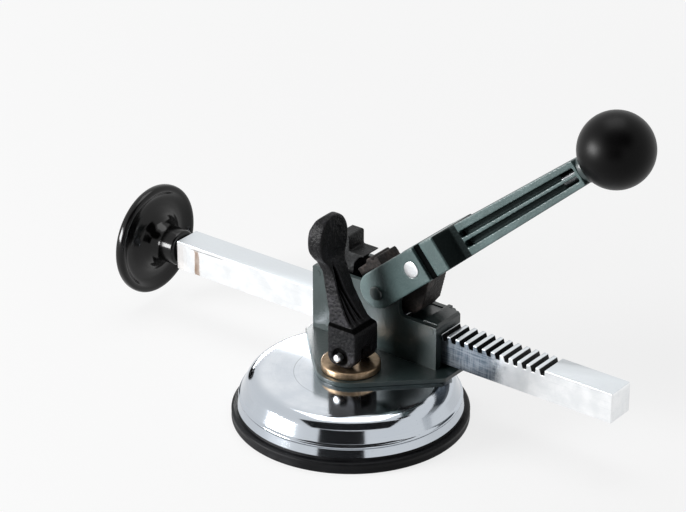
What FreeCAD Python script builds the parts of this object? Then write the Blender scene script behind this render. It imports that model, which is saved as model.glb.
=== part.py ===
"""Floor tile suction lifter with a ratchet bar, as separate pieces in millimetres.

Origin at the centre of the suction cup on the tile, +Z up, +X along the toothed bar
away from its push pad. The bar runs behind the cup, on the +Y side.
"""
import FreeCAD
import Part
import math
import os

V = FreeCAD.Vector

# Suction cup: rubber disc, steel dome, insert plate
cup_radius = 60.0
cup_rim_height = 6.0
cup_face_radius = 46.0
cup_groove_width = 4.0
cup_groove_depth = 1.2
cup_web_thickness = 4.6
cup_land_height = 7.6
cup_land_width = 6.0
dome_skirt_radius = 57.0
dome_top_height = 24.5
dome_wall = 1.5
dome_bead_radius = 55.8
dome_bead_height = 12.6
dome_bead_size = 0.5
dome_shoulder_radius = 9.0
dome_flat_radius = 44.5
insert_plate_radius = 38.0
insert_plate_thickness = 2.0

# Pull stud, thrust ring and lever pin
stud_radius = 5.0
stud_flange_radius = 9.0
stud_flange_height = 2.5
stud_eye_thickness = 7.0
stud_lift = 4.5
ring_radius = 15.0
ring_height = 3.75
ring_chamfer = 0.5
lever_pin_radius = 2.0
lever_pin_height = 5.55
lever_pin_overhang = 3.0

# Base plate under the ratchet housing
plate_thickness = 2.5
plate_nose_radius = 17.5
plate_left = -43.5
plate_right = 44.5
plate_front = 18.8
plate_back = 54.5
plate_corner = 2.0

# Toothed bar and its line
bar_y = 36.2
bar_side = 16.0
bar_lift = 1.5
bar_left = -139.5
bar_right = 135.7
bar_end_chamfer = 0.8
bar_nose_chamfer = 2.6
tooth_pitch = 5.28
tooth_gap = 2.6
tooth_depth = 3.0
tooth_slant = 0.9
tooth_last = 95.0
tooth_count = 24

# Ratchet housing
guide_leg = 2.5
wall_thickness = 3.0
wall_left = -41.4
wall_right = 35.9
wall_high = 62.6
wall_low = 50.4
wall_step = 12.6
wall_step_fillet = 4.0
wall_lug_radius = 8.3
far_wall_right = 28.5
far_wall_low = 48.0
tab_length = 10.0
tab_inset = 9.0
guide_length = 11.0
guide_rear_length = 7.6
guide_front_cap = 6.2
guide_tongue_length = 10.5
guide_tongue_thickness = 2.7
guide_rear_cap = 16.6
guide_chamfer = 1.2
guide_inset = 0.4
guide_far_edge = 43.8
strip_thickness = 1.2
rivet_radius = 1.6
rivet_head_radius = 1.7
rivet_head_height = 0.15
rivet_inset = 3.2
rivet_depth = 14.0

# Holding pawl
hold_x = -25.1
hold_z = 54.7
hold_width = 12.5
hold_pin_radius = 2.5
hold_step_rise = 17.3
hold_tab_rise = 8.2
hold_step_reach = 10.3

# Handle, knob and their pivot
pivot_x = 1.7
pivot_z = 61.0
pivot_radius = 3.0
pivot_head_height = 1.4
pin_head_width = 0.8
handle_angle = 40.4
ear_thickness = 3.3
ear_top = 11.0
ear_bottom = -8.4
groove_length = 5.4
groove_depth = 2.2
band_end = 50.5
taper_end = 55.0
arm_width = 14.4
arm_end = 143.0
arm_top_start = 9.4
arm_bottom_start = -8.2
arm_top_end = 6.8
arm_bottom_end = -6.7
flange_height = 4.2
rib_height = 2.2
web_thickness = 5.0
web_start = 59.0
knob_distance = 163.8
knob_radius = 18.7
collar_radius = 7.6
collar_length = 3.4
knob_stud_radius = 4.0
knob_stud_depth = 14.0

# Drive pawl, hung between the ears of the handle
drive_u = 28.6
drive_v = 1.2
drive_rivet_radius = 4.0
drive_hub_radius = 6.6
drive_width = 15.6
drive_foot_radius = 16.2
drive_tail_left = -12.0
drive_tail_right = 4.0
drive_tail_thickness = 4.1
drive_ridge_width = 4.0
drive_ridge_height = 1.6
spring_wire = 0.55
drive_spring_turns = 4
hold_spring_turns = 3

# Cam lever that pulls the cup up
lever_width = 18.4
lever_hub_left = -7.6
lever_hub_top = 52.0
paddle_height = 94.4
paddle_half_width = 11.2
paddle_half_height = 13.8
paddle_front = -9.8
paddle_thickness = 9.0
neck_half_width = 6.0
waist_half_width = 6.6
ledge_width = 1.2
ledge_height = 1.0
cam_heel_radius = 5.0

# Push pad at the wall end of the bar
pad_radius = 30.0
pad_thickness = 5.4
pad_face = -162.0
pad_rim_width = 4.5
pad_web = 2.5
pad_boss_radius = 9.6
pad_screw_radius = 3.0
pad_screw_length = 36.0
pad_washer_radius = 7.0
pad_washer_thickness = 1.2
pad_counterbore = 2.0

# Clearances
slide_gap = 0.3
hub_room = 0.8
running_gap = 0.05
seat_gap = 0.02
cam_gap = 0.2

# Heights and places worked out from the sizes above
rubber_top = cup_web_thickness
plate_top = dome_top_height + plate_thickness
ring_top = plate_top + ring_height
pin_z = ring_top + lever_pin_height
bar_bottom = plate_top + bar_lift
bar_top = bar_bottom + bar_side
bar_mid = bar_bottom + bar_side / 2
tunnel_half = bar_side / 2 + slide_gap
inner_half = tunnel_half + guide_leg
wall_offset = inner_half + wall_thickness
near_wall = bar_y - wall_offset
far_wall = bar_y + inner_half
guide_front_height = bar_top + slide_gap + guide_front_cap
guide_rear_height = bar_top + slide_gap + guide_rear_cap
handle_width = 2 * (wall_offset + slide_gap + ear_thickness)
hold_step_height = hold_z + hold_step_rise
hold_tab_height = hold_step_height + hold_tab_rise
fork_depth = drive_u + drive_hub_radius + hub_room


def box(x, y, z):
    """A box between the two values of each pair."""
    size = [high - low for low, high in (x, y, z)]
    return Part.makeBox(*size, V(x[0], y[0], z[0]))


def rod(radius, start, end):
    """A round bar from one point to another."""
    axis = V(*end) - V(*start)
    return Part.makeCylinder(radius, axis.Length, V(*start), axis)


def plate_xz(outline, y_low, y_high):
    """An outline of (x, z) points given thickness along Y."""
    points = [V(x, y_low, z) for x, z in outline]
    face = Part.Face(Part.makePolygon(points + points[:1]))
    return face.extrude(V(0, y_high - y_low, 0))


def turned(profile, axis_point, axis):
    """A closed wire turned a full circle."""
    return Part.Face(profile).revolve(axis_point, axis, 360)


def polygon_rz(points):
    """A closed wire of (radius, height) points in the XZ plane."""
    corners = [V(r, 0, z) for r, z in points]
    return Part.makePolygon(corners + corners[:1])


def arc_points(centre, radius, start, end, steps):
    """Points on an arc, for outlines made of short straight runs."""
    angles = [math.radians(start + (end - start) * i / steps) for i in range(steps + 1)]
    return [(centre[0] + radius * math.cos(a), centre[1] + radius * math.sin(a)) for a in angles]


def on_handle(shape):
    """Move a shape drawn along +X at the origin to the handle's line at rest."""
    shape.rotate(V(0, 0, 0), V(0, -1, 0), handle_angle)
    shape.translate(V(pivot_x, bar_y, pivot_z))
    return shape


def rubber_disc():
    groove = cup_face_radius + cup_groove_width
    land_outer = dome_skirt_radius - 0.6
    land_inner = land_outer - cup_land_width
    profile = polygon_rz([
        (0, 0), (cup_face_radius, 0), (cup_face_radius + 0.6, cup_groove_depth),
        (groove - 0.6, cup_groove_depth), (groove, 0), (cup_radius - 0.6, 0),
        (cup_radius, 0.6), (cup_radius, cup_rim_height - 0.8), (cup_radius - 0.8, cup_rim_height),
        (land_outer, cup_rim_height), (land_outer, cup_land_height), (land_inner, cup_land_height),
        (land_inner - 3, rubber_top), (0, rubber_top)])
    return turned(profile, V(0, 0, 0), V(0, 0, 1))


def dome_profile(inset):
    """Half of the dome's outline, from the centre out, moved in by the wall for the inside."""
    top = dome_top_height - inset
    radius = dome_shoulder_radius - inset
    shoulder = arc_points((dome_flat_radius, dome_top_height - dome_shoulder_radius), radius, 90, 22, 10)
    skirt_top = (dome_bead_radius - 0.5 - inset, dome_bead_height + 0.8)
    bead = (dome_bead_radius + dome_bead_size - inset, dome_bead_height)
    under_bead = (dome_bead_radius - inset, dome_bead_height - 0.8)
    foot = (dome_skirt_radius - inset, cup_land_height)
    return [(0, top)] + shoulder + [skirt_top, bead, under_bead, foot]


def dome_cover():
    outside = dome_profile(0)
    inside = dome_profile(dome_wall)
    shell = turned(polygon_rz(outside + inside[::-1]), V(0, 0, 0), V(0, 0, 1))
    return shell.cut(rod(stud_radius + slide_gap, (0, 0, 0), (0, 0, dome_top_height + 1)))


def insert_plate():
    plate = rod(insert_plate_radius, (0, 0, rubber_top), (0, 0, rubber_top + insert_plate_thickness))
    return plate.makeChamfer(0.4, plate.Edges)


def pull_stud():
    seat = rubber_top + insert_plate_thickness
    flange = rod(stud_flange_radius, (0, 0, seat), (0, 0, seat + stud_flange_height))
    shank = rod(stud_radius, (0, 0, seat), (0, 0, pin_z + stud_radius))
    flat_start = ring_top - stud_lift - slide_gap
    eye_room = box((-9, 9), (-9, 9), (flat_start, pin_z + 9))
    eye = box((-9, 9), (-stud_eye_thickness / 2, stud_eye_thickness / 2), (seat, pin_z + 9))
    shank = shank.cut(eye_room.cut(eye))
    crown = box((-9, 9), (-9, 9), (pin_z, pin_z + 9)).cut(rod(stud_radius, (0, -9, pin_z), (0, 9, pin_z)))
    hole = rod(lever_pin_radius + seat_gap, (0, -9, pin_z), (0, 9, pin_z))
    return flange.fuse(shank).cut(crown).cut(hole).removeSplitter()


def lever_pin():
    reach = lever_width / 2 + lever_pin_overhang
    pin = rod(lever_pin_radius, (0, -reach, pin_z), (0, reach, pin_z))
    ends = [e for e in pin.Edges if e.Curve.TypeId == "Part::GeomCircle"]
    return pin.makeChamfer(0.5, ends)


def thrust_ring():
    ring = rod(ring_radius, (0, 0, plate_top), (0, 0, ring_top))
    rims = [e for e in ring.Edges if e.Curve.TypeId == "Part::GeomCircle"]
    ring = ring.makeChamfer(ring_chamfer, rims)
    return ring.cut(rod(stud_radius + running_gap, (0, 0, 0), (0, 0, ring_top + 1)))


def base_plate():
    """A rounded nose under the ring, spreading back to the full length of the housing."""
    corners = [(plate_left, plate_front), (plate_right, plate_front)]
    tangents = []
    for (x, y), side in zip(corners, (1, -1)):
        swing = math.acos(plate_nose_radius / math.hypot(x, y))
        angle = math.atan2(y, x) + side * swing
        tangents.append((plate_nose_radius * math.cos(angle), plate_nose_radius * math.sin(angle)))
    outline = [corners[0], tangents[0], tangents[1], corners[1], (plate_right, plate_back),
               (plate_left, plate_back)]
    points = [V(x, y, dome_top_height) for x, y in outline]
    body = Part.Face(Part.makePolygon(points + points[:1])).extrude(V(0, 0, plate_thickness))
    nose = rod(plate_nose_radius, (0, 0, dome_top_height), (0, 0, plate_top))
    body = body.fuse(nose).removeSplitter()
    upright = [e for e in body.Edges if abs(e.tangentAt(e.FirstParameter).z) > 0.99
               and abs(e.CenterOfMass.x) > abs(plate_left) - 1]
    body = body.makeFillet(plate_corner, upright)
    body = body.cut(rod(stud_radius + slide_gap, (0, 0, 0), (0, 0, plate_top + 1)))
    for y_low in (near_wall, far_wall):
        for x_low, x_high in tab_places():
            slot = box((x_low - seat_gap, x_high + seat_gap),
                       (y_low - seat_gap, y_low + wall_thickness + seat_gap), (0, plate_top + 1))
            body = body.cut(slot)
    return body


def tab_places():
    """The two tabs of each wall that stand through the base plate and are staked there."""
    left = wall_left + tab_inset
    right = far_wall_right - tab_inset
    return [(left, left + tab_length), (right - tab_length, right)]


def side_plate(y_low, right, low):
    """One wall: tall at the push-pad end, low over the teeth, with a round lug for the pivot."""
    fillet = arc_points((wall_step + wall_step_fillet, low + wall_step_fillet),
                        wall_step_fillet, 180, 270, 6)
    outline = [(wall_left, plate_top), (wall_left, wall_high - 1), (wall_left + 1, wall_high),
               (wall_step, wall_high)]
    outline += fillet + [(right - 0.6, low), (right, low - 0.6), (right, plate_top)]
    y_high = y_low + wall_thickness
    wall = plate_xz(outline, y_low, y_high)
    for tab in tab_places():
        wall = wall.fuse(box(tab, (y_low, y_high), (dome_top_height, plate_top)))
    lug = rod(wall_lug_radius, (pivot_x, y_low, pivot_z), (pivot_x, y_high, pivot_z))
    wall = wall.fuse(lug).removeSplitter()
    for radius, x, z in ((pivot_radius, pivot_x, pivot_z), (hold_pin_radius, hold_x, hold_z)):
        wall = wall.cut(rod(radius + seat_gap, (x, y_low - 1, z), (x, y_high + 1, z)))
    for rivet in guide_rivet_places():
        wall = wall.cut(rivet_shape(*rivet, seat_gap))
    return wall


def guide_rivet_places():
    """Where a rivet holds each guide block: at the rear high above the bar, in front just over it."""
    rear = (wall_left + rivet_inset, guide_rear_height - 3.0)
    front = (wall_right - rivet_inset, (bar_top + slide_gap + guide_front_height) / 2)
    return [rear, front]


def guide_block(x_low, x_high, height, rivet):
    """An upside-down U that keeps the bar on its line."""
    block = box((x_low, x_high), (bar_y - inner_half, bar_y + inner_half), (plate_top, height))
    top_edges = [e for e in block.Edges if abs(e.CenterOfMass.z - height) < 0.01
                 and abs(e.tangentAt(e.FirstParameter).y) > 0.99]
    block = block.makeChamfer(guide_chamfer, top_edges)
    tunnel = box((x_low - 1, x_high + 1), (bar_y - tunnel_half, bar_y + tunnel_half),
                 (plate_top - 1, bar_top + slide_gap))
    block = block.cut(tunnel)
    block = block.cut(box((far_wall_right, 99), (guide_far_edge, 99), (0, 99)))
    return block.cut(rivet_shape(*rivet, seat_gap))


def guide_block_front():
    """The block over the toothed end, with a low tongue over the teeth behind it."""
    low = wall_right - guide_length
    block = guide_block(low, wall_right - guide_inset, guide_front_height, guide_rivet_places()[1])
    tongue = box((low - guide_tongue_length, low + 1), (bar_y - inner_half, bar_y + inner_half),
                 (bar_top + slide_gap, bar_top + slide_gap + guide_tongue_thickness))
    return block.fuse(tongue).removeSplitter()


def rivet_shape(x, z, grow):
    """A rivet driven in from the near wall, with a low head almost flush with it."""
    shank = rod(rivet_radius + grow, (x, near_wall, z), (x, near_wall + rivet_depth + grow, z))
    head = rod(rivet_head_radius + grow, (x, near_wall - rivet_head_height, z), (x, near_wall, z))
    return shank.fuse(head).removeSplitter()


def guide_rivets():
    return Part.makeCompound([rivet_shape(x, z, 0) for x, z in guide_rivet_places()])


def wear_strip():
    """The strip on the base plate that the bar slides on, between the two guide blocks."""
    return box((wall_left + guide_rear_length + 0.5, wall_right - guide_length - 0.5),
               (bar_y - tunnel_half, bar_y + tunnel_half), (plate_top, plate_top + strip_thickness))


def tooth_gap_shape(x, y_low, y_high):
    """One gap of the rack, upright on its +X side and slanted on the other."""
    outline = [(x - tooth_gap / 2 - tooth_slant, bar_top + 1), (x + tooth_gap / 2, bar_top + 1),
               (x + tooth_gap / 2, bar_top - tooth_depth), (x - tooth_gap / 2 + tooth_slant / 2,
                                                            bar_top - tooth_depth)]
    return plate_xz(outline, y_low, y_high)


def rack_bar():
    half = bar_side / 2
    bar = box((bar_left, bar_right), (bar_y - half, bar_y + half), (bar_bottom, bar_top))
    end_edges = [e for e in bar.Edges if abs(e.CenterOfMass.x - bar_right) < 0.01]
    bar = bar.makeChamfer(bar_end_chamfer, end_edges)
    nose_edges = [e for e in bar.Edges if abs(e.CenterOfMass.x - bar_left) < 0.01]
    bar = bar.makeChamfer(bar_nose_chamfer, nose_edges)
    for i in range(tooth_count):
        x = tooth_last - i * tooth_pitch
        bar = bar.cut(tooth_gap_shape(x, bar_y - half - 1, bar_y + half + 1))
    return bar.cut(rod(pad_screw_radius + seat_gap, (bar_left - 1, bar_y, bar_mid),
                       (pad_face + pad_screw_length + 0.5, bar_y, bar_mid)))


def push_pad():
    """A dished disc with a thick rim and a waisted boss, as radius against distance from its face."""
    thick = pad_thickness
    rim_inner = pad_radius - pad_rim_width
    boss_end = bar_left - pad_face
    boss = pad_boss_radius
    profile = [(0, 0), (pad_radius - 2, 0), (pad_radius - 0.6, 0.6), (pad_radius, 2),
               (pad_radius, thick - 1.6), (pad_radius - 0.5, thick - 0.5), (pad_radius - 1.6, thick),
               (rim_inner + 1.4, thick), (rim_inner + 0.4, thick - 0.5), (rim_inner, thick - 1.6),
               (rim_inner - 1.2, pad_web + 0.6), (rim_inner - 3.0, pad_web)]
    profile += [(boss + 9.0, pad_web + 0.4), (boss + 5.0, pad_web + 2.2), (boss + 2.0, pad_web + 5.6),
                (boss + 0.4, pad_web + 10.5), (boss, boss_end), (0, boss_end)]
    disc = turned(polygon_rz(profile), V(0, 0, 0), V(0, 0, 1))
    disc = disc.cut(rod(pad_screw_radius + seat_gap, (0, 0, -1), (0, 0, boss_end + 1)))
    room = pad_washer_radius + slide_gap
    disc = disc.cut(rod(room, (0, 0, -1), (0, 0, pad_washer_thickness + pad_counterbore)))
    disc.rotate(V(0, 0, 0), V(0, 1, 0), 90)
    disc.translate(V(pad_face, bar_y, bar_mid))
    return disc


def along_bar(radius, start, end):
    """A round bar on the toothed bar's own line, between two distances from the pad's face."""
    return rod(radius, (pad_face + start, bar_y, bar_mid), (pad_face + end, bar_y, bar_mid))


def pad_washer():
    seat = pad_counterbore + pad_washer_thickness
    washer = along_bar(pad_washer_radius, pad_counterbore, seat)
    return washer.cut(along_bar(pad_screw_radius + seat_gap, 0, seat + 1))


def pad_screw():
    """A low round head sunk in the pad's face, and a shank that reaches into the bar."""
    head = along_bar(pad_screw_radius * 1.8, 0.2, pad_counterbore)
    shank = along_bar(pad_screw_radius, pad_counterbore, pad_screw_length)
    return head.fuse(shank).removeSplitter()


def cam_edge(steps=18):
    """The cam's edge: its distance below the pin grows in step with the lever's turn."""
    rest = lever_pin_height - cam_gap
    rate = stud_lift / (math.pi / 2)
    points = []
    for i in range(steps + 1):
        turn = math.pi / 2 * i / steps
        reach = rest + rate * turn
        points.append((reach * math.sin(turn) + rate * math.cos(turn),
                       pin_z - reach * math.cos(turn) + rate * math.sin(turn)))
    return points


def arm_height(share):
    """A height on the lever's arm, from 0 at the top of its hub to 1 at the middle of its paddle."""
    return lever_hub_top + (paddle_height - lever_hub_top) * share


def lever_side():
    """The lever seen from the side: cam and hub below, a leaning arm, the paddle on top."""
    rest = lever_pin_height - cam_gap
    front = rest + stud_lift
    back = paddle_front - paddle_thickness
    heel = arc_points((lever_hub_left + cam_heel_radius, pin_z - rest + cam_heel_radius),
                      cam_heel_radius, 180, 270, 5)
    arm_front = [(0.041, 0), (0.267, 0.071), (0.42, 0.189), (0.654, 0.401), (0.807, 0.613), (0.908, 0.719),
                 (1, 0.814)]
    arm_back = [(0.839, 0.767), (0.518, 0.637), (0.286, 0.377), (0.036, 0.142), (0, 0)]
    paddle_edge = [(0, 1), (0.44, 0.985), (0.82, 0.77), (1, 0.41), (1, -0.39)]
    side = heel + cam_edge() + [(front, arm_height(-0.047))]
    side += [(front + (paddle_front - front) * across, arm_height(up)) for across, up in arm_front]
    side += [(paddle_front - paddle_thickness * across, paddle_height + paddle_half_height * up)
             for across, up in paddle_edge]
    side += [(lever_hub_left + (back - lever_hub_left) * across, arm_height(up)) for across, up in arm_back]
    return side


def cam_lever():
    body = plate_xz(lever_side(), -paddle_half_width - 2, paddle_half_width + 2)
    half = lever_width / 2
    paddle = [(paddle_half_width * math.cos(a), paddle_height + paddle_half_height * math.sin(a))
              for a in (math.radians(-52 + 7.1 * i) for i in range(41))]
    ledge = half - ledge_width
    waist = [(half, lever_hub_top), (ledge, lever_hub_top + ledge_height), (ledge - 0.4, arm_height(0.153)),
             (waist_half_width, arm_height(0.377)), (neck_half_width, arm_height(0.613))]
    front_view = [(half, pin_z - lever_width / 2)] + waist + paddle
    front_view += [(-y, z) for y, z in waist[::-1]] + [(-half, pin_z - lever_width / 2)]
    points = [V(2 * paddle_front - paddle_thickness, y, z) for y, z in front_view]
    mask = Part.Face(Part.makePolygon(points + points[:1])).extrude(V(60, 0, 0))
    lever = body.common(mask)
    slot_half = stud_eye_thickness / 2 + slide_gap
    room = stud_radius + slide_gap
    slot = box((-room, 20), (-slot_half, slot_half), (pin_z - 20, pin_z))
    slot = slot.fuse(box((0, 20), (-slot_half, slot_half), (pin_z - 20, pin_z + room)))
    slot = slot.fuse(rod(room, (0, -slot_half, pin_z), (0, slot_half, pin_z)))
    lever = lever.cut(slot)
    return lever.cut(rod(lever_pin_radius + running_gap, (0, -20, pin_z), (0, 20, pin_z)))


def holding_pawl():
    """A block between the walls: tooth below, pin hole in the middle, thumb tab on top."""
    tip_x = hold_x + 9.0
    tip_z = bar_top + slide_gap
    side_x = hold_x + 3.9
    outline = [(hold_x - 5.2, hold_z - 1), (hold_x - 3.6, hold_z - 4.6), (tip_x - 3.4, tip_z + 2.1),
               (tip_x - 2.4, tip_z), (tip_x, tip_z), (tip_x + 0.6, tip_z + 1.7), (side_x, hold_z + 1.0),
               (side_x, hold_z + 6.8), (side_x + 0.6, hold_step_height - 5.5),
               (hold_x + 7.7, hold_step_height - 1.4), (hold_x + hold_step_reach, hold_step_height - 0.7),
               (hold_x + hold_step_reach, hold_step_height), (hold_x + 1.3, hold_step_height),
               (hold_x + 1.3, hold_tab_height - 0.8), (hold_x + 0.5, hold_tab_height),
               (hold_x - 6.0, hold_tab_height), (hold_x - 7.6, hold_tab_height - 2.2),
               (hold_x - 6.2, hold_tab_height - 14.2)]
    pawl = plate_xz(outline, bar_y - hold_width / 2, bar_y + hold_width / 2)
    return pawl.cut(rod(hold_pin_radius + running_gap, (hold_x, 0, hold_z), (hold_x, 80, hold_z)))


def pin_across(radius, x, z, half_length, head_height):
    """A cross pin with a low round head on each end."""
    head_radius = radius + pin_head_width
    shank = rod(radius, (x, bar_y - half_length, z), (x, bar_y + half_length, z))
    heads = []
    for side in (-1, 1):
        heads.append(rod(head_radius, (x, bar_y + side * half_length, z),
                         (x, bar_y + side * (half_length + head_height), z)))
    return shank.fuse(heads[0]).fuse(heads[1]).removeSplitter()


def coil_spring(radius, turns, leg_angle, leg_length, x, z, y_start):
    """A close coil around a cross pin, turn on turn, with a straight leg at each end."""
    half_turn = arc_points((0, 0), spring_wire, -70, 70, 6)
    rise = 2 * half_turn[-1][1]
    levels = [i * rise for i in range(turns)]
    outer = [(radius + r, level + z_off) for level in levels for r, z_off in half_turn[:-1]]
    inner = [(radius - r, level - z_off) for level in levels[::-1] for r, z_off in half_turn[:-1]]
    coil = turned(polygon_rz(outer + inner), V(0, 0, 0), V(0, 0, 1))
    for level, side in ((levels[0], -1), (levels[-1], 1)):
        coil = coil.fuse(rod(spring_wire * 0.9, (radius, 0, level), (radius, side * leg_length, level)))
    coil.rotate(V(0, 0, 0), V(0, 0, 1), leg_angle)
    coil.rotate(V(0, 0, 0), V(1, 0, 0), -90)
    coil.translate(V(x, y_start, z))
    return coil


def holding_pawl_spring():
    start = bar_y + hold_width / 2 + spring_wire + 0.1
    return coil_spring(hold_pin_radius + 1.4, hold_spring_turns, 200, 3.0, hold_x, hold_z, start)


def drive_pawl_spring():
    start = drive_width / 2 + spring_wire + 0.1
    return on_handle(coil_spring(drive_rivet_radius + 1.0, drive_spring_turns, 150, 3.0,
                                 drive_u, drive_v, start))


def handle():
    """Two ears, a solid root with a groove, a taper and a grooved arm, drawn along +X."""
    half = handle_width / 2
    tail = arc_points((0, (ear_top + ear_bottom) / 2), (ear_top - ear_bottom) / 2, 90, 270, 16)
    outline = tail + [(fork_depth, ear_bottom - 0.1), (band_end, ear_bottom + 0.1), (band_end, 9.9),
                      (fork_depth, 10.6)]
    root = plate_xz(outline, -half, half)
    fork = box((-20, fork_depth - slide_gap), (-half + ear_thickness, half - ear_thickness), (-20, 20))
    root = root.cut(fork)
    for side in (-1, 1):
        y = sorted((side * half, side * (half - groove_depth)))
        root = root.cut(box((fork_depth, fork_depth + groove_length), y, (-20, 20)))
    taper = Part.makeLoft([arm_section(band_end, half, ear_bottom + 0.1, 9.9),
                           arm_section(taper_end, arm_width / 2, arm_bottom_start, arm_top_start)], True)
    arm = Part.makeLoft([arm_section(taper_end, arm_width / 2, arm_bottom_start, arm_top_start),
                         arm_section(arm_end, arm_width / 2, arm_bottom_end, arm_top_end)], True)
    for side in (-1, 1):
        y = sorted((side * arm_width, side * web_thickness / 2))
        for upper in (False, True):
            arm = arm.cut(arm_groove(y, upper))
    body = root.fuse(taper).fuse(arm).removeSplitter()
    body = body.cut(rod(pivot_radius + running_gap, (0, -half - 1, 0), (0, half + 1, 0)))
    body = body.cut(rod(drive_rivet_radius + seat_gap, (drive_u, -half - 1, drive_v),
                        (drive_u, half + 1, drive_v)))
    body = body.cut(rod(knob_stud_radius + seat_gap, (arm_end - knob_stud_depth, 0, 0), (arm_end + 1, 0, 0)))
    return on_handle(body)


def arm_section(u, half, bottom, top):
    """A rectangle across the arm at distance u."""
    corners = [V(u, -half, bottom), V(u, half, bottom), V(u, half, top), V(u, -half, top)]
    return Part.makePolygon(corners + corners[:1])


def arm_level(u, start, end):
    """A height that runs straight from the start of the arm to its end."""
    return start + (end - start) * (u - taper_end) / (arm_end - taper_end)


def arm_groove(y, upper):
    """The hollow between the arm's middle rib and one flange, on one side."""
    ends = (web_start, arm_end - 2)
    outline = []
    for u in ends:
        top_edge = arm_level(u, arm_top_start, arm_top_end)
        bottom_edge = arm_level(u, arm_bottom_start, arm_bottom_end)
        middle = (top_edge + bottom_edge) / 2
        thin = arm_level(u, flange_height, flange_height * 0.75)
        top = top_edge - thin
        bottom = bottom_edge + thin
        rib = arm_level(u, rib_height, rib_height * 0.75) / 2
        outline.append((u, middle + rib, top) if upper else (u, bottom, middle - rib))
    (u0, low0, high0), (u1, low1, high1) = outline
    return plate_xz([(u0, low0), (u1, low1), (u1, high1), (u0, high0)], *y)


def knob_collar():
    ring = rod(collar_radius, (arm_end, 0, 0), (arm_end + collar_length, 0, 0))
    ring = ring.cut(rod(knob_stud_radius + seat_gap, (arm_end - 1, 0, 0), (arm_end + 9, 0, 0)))
    return on_handle(ring.cut(knob_sphere(slide_gap / 3)))


def knob_sphere(grow):
    return Part.makeSphere(knob_radius + grow, V(knob_distance, 0, 0.2))


def knob_stud():
    start = arm_end - knob_stud_depth + 0.5
    return on_handle(rod(knob_stud_radius, (start, 0, 0), (knob_distance + 2, 0, 0)))


def ball_knob():
    bore = rod(knob_stud_radius + seat_gap, (arm_end, 0, 0), (knob_distance + 2.5, 0, 0))
    return on_handle(knob_sphere(0).cut(bore))


def drive_pawl():
    """A hook: hub on the handle's rivet, broad body behind the pivot, foot under the pivot."""
    rest = math.radians(handle_angle)
    hub = (pivot_x + drive_u * math.cos(rest) - drive_v * math.sin(rest),
           pivot_z + drive_u * math.sin(rest) + drive_v * math.cos(rest))
    foot = arc_points((pivot_x, pivot_z), drive_foot_radius, 262, 284, 5)
    outline = foot + [(13.0, 50.2), (19.5, 51.5), (22.9, 56.0), (26.4, 70.5), (28.2, 78.0)]
    outline += [(hub[0] + 5, hub[1] + 4), (hub[0] - 3, hub[1] + 6.0), (hub[0] - 7.4, hub[1] - 2.0)]
    outline += [(14.6, 70.0), (13.2, 62.0), (10.2, 55.6), (5.0, 52.0), (-0.2, 49.8)]
    half = drive_width / 2
    body = plate_xz(outline, bar_y - half, bar_y + half)
    reach = handle_width / 2 - ear_thickness - slide_gap
    boss = rod(drive_hub_radius, (hub[0], bar_y - reach, hub[1]), (hub[0], bar_y, hub[1]))
    body = body.fuse(boss).fuse(drive_tail()).removeSplitter()
    return body.cut(rod(drive_rivet_radius + running_gap, (hub[0], 0, hub[1]), (hub[0], 80, hub[1])))


def drive_tail():
    """The thumb tail over the fork: a high and a low cross ridge, and an arm down to the hub."""
    low = ear_top + slide_gap
    high = low + drive_tail_thickness
    top = high + drive_ridge_height
    left, right = drive_tail_left, drive_tail_right
    ridge = right - 4.5
    ridge_left = ridge - drive_ridge_width
    under = [(left, low), (left / 5, low - 0.4), (right, ear_top / 2), (drive_u / 2, 0),
             (drive_u - 2, drive_v), (drive_u - 2, drive_v + 5.0), (right + 4.0, ear_top - 1.6),
             (right + 0.3, ear_top - 0.4)]
    over = [(right, high - 0.2), (right - 0.4, high + 0.3), (right - 2.4, high + 0.3),
            (right - 3.0, high - 0.7), (right - 4.0, high - 0.7), (ridge, top - 0.5),
            (ridge - 0.6, top), (ridge_left + 0.6, top),
            (ridge_left, top - 0.6), (ridge_left - 0.3, high), (left, high)]
    return on_handle(plate_xz(under + over, -drive_width / 2, drive_width / 2))


def drive_rivet():
    half = handle_width / 2
    shank = rod(drive_rivet_radius, (drive_u, -half, drive_v), (drive_u, half, drive_v))
    heads = [rod(drive_rivet_radius + 0.3, (drive_u, side * half, drive_v),
                 (drive_u, side * (half + 0.4), drive_v)) for side in (-1, 1)]
    return on_handle(shank.fuse(heads[0]).fuse(heads[1]).removeSplitter())


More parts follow.
